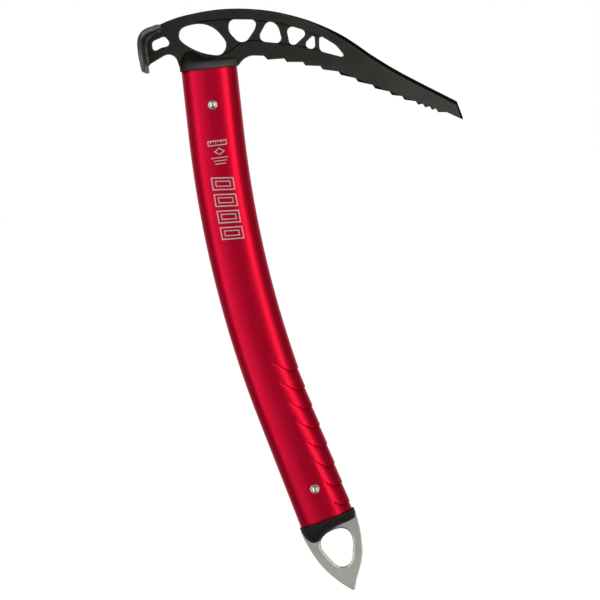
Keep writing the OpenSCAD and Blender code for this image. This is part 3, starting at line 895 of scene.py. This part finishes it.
def steel(name, color, low, high):
    """Bare steel of a roughness from low to high, with painted light that makes it brighter towards the lower
    end of the axe.
    """
    m = Mat(name, Metallic=1.0, Anisotropic=0.2)
    cloud = m.noise(35, 3, 0.55)
    grain = m.noise(900, 3, 0.65)
    dark = tuple(c * 0.86 for c in color) + (1,)
    place = m.node("ShaderNodeSeparateXYZ")
    m.put(place.inputs[0], m.coord)
    # painted light: the colour grows paler towards the lower end of the axe
    color = m.mix(m.remap(place.outputs["Z"], -0.3, -0.335, 0, 1), color + (1,), (1.0, 1.0, 0.92, 1))
    m.set("Base Color", m.mix(m.remap(cloud, 0.35, 0.65, 0, 0.3), color, dark))
    m.set("Roughness", m.math("ADD", m.spread(grain, low, high), m.spread(cloud, -0.02, 0.03)))
    m.set("Normal", m.bump(grain, 0.12, 0.0001))
    return m.mat


def ink():
    """White print, slightly uneven."""
    m = Mat("white_print", IOR=1.45)
    patch = m.noise(900, 3, 0.6)
    m.set("Base Color", m.mix(m.remap(patch, 0.35, 0.6, 0, 1), (0.93, 0.82, 0.84, 1), (1.0, 0.97, 0.98, 1)))
    m.set("Roughness", m.spread(patch, 0.42, 0.55))
    m.set("Normal", m.bump(patch, 0.1, 0.00005))
    return m.mat


# ---------------------------------------------------------------- the object
FORGED, WELDED, MOULDED = forged(), welded(), moulded()
SPIKE_STEEL = steel("satin_steel", (0.76, 0.78, 0.75), 0.34, 0.44)
RIVET_STEEL = steel("bright_steel", (0.78, 0.75, 0.69), 0.2, 0.28)

shaft(anodised())
head(FORGED)
adze(FORGED)
weld(-1, "weld_front", "weld_bead_front", WELDED)
weld(1, "weld_back", "weld_bead_back", WELDED)
plug("head_collar", "head_plug",
     [(-10.8, 11.5), (-8.6, 11.1), (-5.4, 9.3), (-2, 7.5), (1.4, 6.3), (4.9, 5.5), (10.2, 5.3), (15.2, 5.3)],
     HEAD_T, head_place, 1.0, MOULDED)
plug("spike_collar", "spike_plug",
     [(-11.2, 11.2), (-9, 11.2), (-7.1, 10.2), (-2.6, 8.2), (2.7, 6.9), (6.3, 6.4), (11.6, 6.2), (14.8, 5.8)],
     SPIKE_T, spike_place, 0.0, MOULDED)
spike(SPIKE_STEEL)
rivet("rivet_upper", "head_rivet", LENGTH - HEAD_RIVET_INSET, RIVET_STEEL)
rivet("rivet_lower", "spike_rivet", SPIKE_RIVET_INSET, RIVET_STEEL)
marks(ink())


# ---------------------------------------------------------------- floor, light, camera
def floor():
    """A pale glowing floor, kept out of the axe's reflections and its diffuse light."""
    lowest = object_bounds()[0].z
    bpy.ops.mesh.primitive_plane_add(size=30, location=(0, 0, lowest - 0.0005))
    ob = bpy.context.object
    ob.name = "floor"
    m = Mat("pale_floor", Roughness=0.9)
    m.set("Base Color", m.mix(m.noise(3, 2), (0.86, 0.86, 0.86, 1), (0.9, 0.9, 0.9, 1)))
    m.bsdf.inputs["Emission Color"].default_value = (1, 1, 1, 1)
    m.bsdf.inputs["Emission Strength"].default_value = 0.95
    ob.data.materials.append(m.mat)
    ob.visible_glossy = False
    ob.visible_diffuse = False
    ob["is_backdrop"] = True


def softbox(name, azimuth, away, size, power, color, target=(0.03, 0, -0.15)):
    """An upright soft light, away metres from the target at that azimuth from the front, in degrees."""
    light = bpy.data.lights.new(name, "AREA")
    light.shape = "RECTANGLE"
    light.size, light.size_y = size
    light.energy = power
    light.color = color
    ob = bpy.data.objects.new(name, light)
    bpy.context.scene.collection.objects.link(ob)
    a = math.radians(azimuth)
    way = Vector((math.sin(a), -math.cos(a), 0))
    ob.location = Vector(target) + way * away
    ob.rotation_mode = "QUATERNION"
    ob.rotation_quaternion = way.to_track_quat("Z", "Y")
    ob.visible_camera = False


def world(strength):
    """White to the camera. To the axe, dimmer from overhead and from below, and brighter from behind."""
    w = bpy.data.worlds.new("studio")
    bpy.context.scene.world = w
    w.use_nodes = True
    nt = w.node_tree
    out = nt.nodes["World Output"]
    soft, white = nt.nodes["Background"], nt.nodes.new("ShaderNodeBackground")
    soft.inputs[0].default_value = (1, 1, 1, 1)
    way = nt.nodes.new("ShaderNodeSeparateXYZ")
    nt.links.new(nt.nodes.new("ShaderNodeTexCoord").outputs["Generated"], way.inputs[0])
    parts = []
    for axis_name, ends in (("Z", (0.15, 0.65, strength, 0.1 * strength)), ("Z", (-0.9, -0.3, 0.6, 1.0)),
                            ("Y", (0.1, 0.8, 1.0, 2.2))):
        part = nt.nodes.new("ShaderNodeMapRange")
        nt.links.new(way.outputs[axis_name], part.inputs[0])
        for i, v in enumerate(ends):
            part.inputs[i + 1].default_value = v
        parts.append(part.outputs[0])
    while len(parts) > 1:
        both = nt.nodes.new("ShaderNodeMath")
        both.operation = "MULTIPLY"
        nt.links.new(parts.pop(), both.inputs[0])
        nt.links.new(parts.pop(), both.inputs[1])
        parts.append(both.outputs[0])
    nt.links.new(parts[0], soft.inputs[1])
    white.inputs[0].default_value = (1, 1, 1, 1)
    white.inputs[1].default_value = 1.0
    path, mix = nt.nodes.new("ShaderNodeLightPath"), nt.nodes.new("ShaderNodeMixShader")
    nt.links.new(path.outputs["Is Camera Ray"], mix.inputs[0])
    nt.links.new(soft.outputs[0], mix.inputs[1])
    nt.links.new(white.outputs[0], mix.inputs[2])
    nt.links.new(mix.outputs[0], out.inputs[0])


def camera(aim, away, tilt, roll, lens):
    """Looks along +Y at aim, from slightly above, with the picture's right side turned by roll."""
    cam = bpy.data.cameras.new("camera")
    cam.lens = lens
    cam.sensor_width = 36
    cam.clip_start, cam.clip_end = 0.05, 60
    ob = bpy.data.objects.new("camera", cam)
    bpy.context.scene.collection.objects.link(ob)
    r = math.radians(roll)
    right, rise = Vector((math.cos(r), 0, math.sin(r))), Vector((-math.sin(r), 0, math.cos(r)))
    back = (rise * math.tan(math.radians(tilt)) - Vector((0, 1, 0))).normalized()
    up = back.cross(right)
    ob.matrix_world = Matrix((right, up, back)).transposed().to_4x4()
    ob.location = Vector(aim) + back * (away / math.cos(math.radians(tilt)))
    bpy.context.scene.camera = ob


floor()
softbox("left_wide", azimuth=-22, away=1.4, size=(0.6, 2.0), power=2, color=(1, 0.97, 1.0))
world(0.25)
softbox("left_strip", azimuth=-45, away=1.3, size=(0.42, 1.5), power=2.5, color=(1, 0.96, 1.0),
        target=(0.03, 0, 0.08))
softbox("right_strip", azimuth=29.5, away=1.3, size=(0.23, 2.0), power=5.4, color=(1, 0.93, 0.74))
camera(aim=(0.03963, 0, -0.15745), away=1.6, tilt=3.2, roll=-6.228, lens=164.07)
bpy.context.scene.view_settings.view_transform = "Standard"
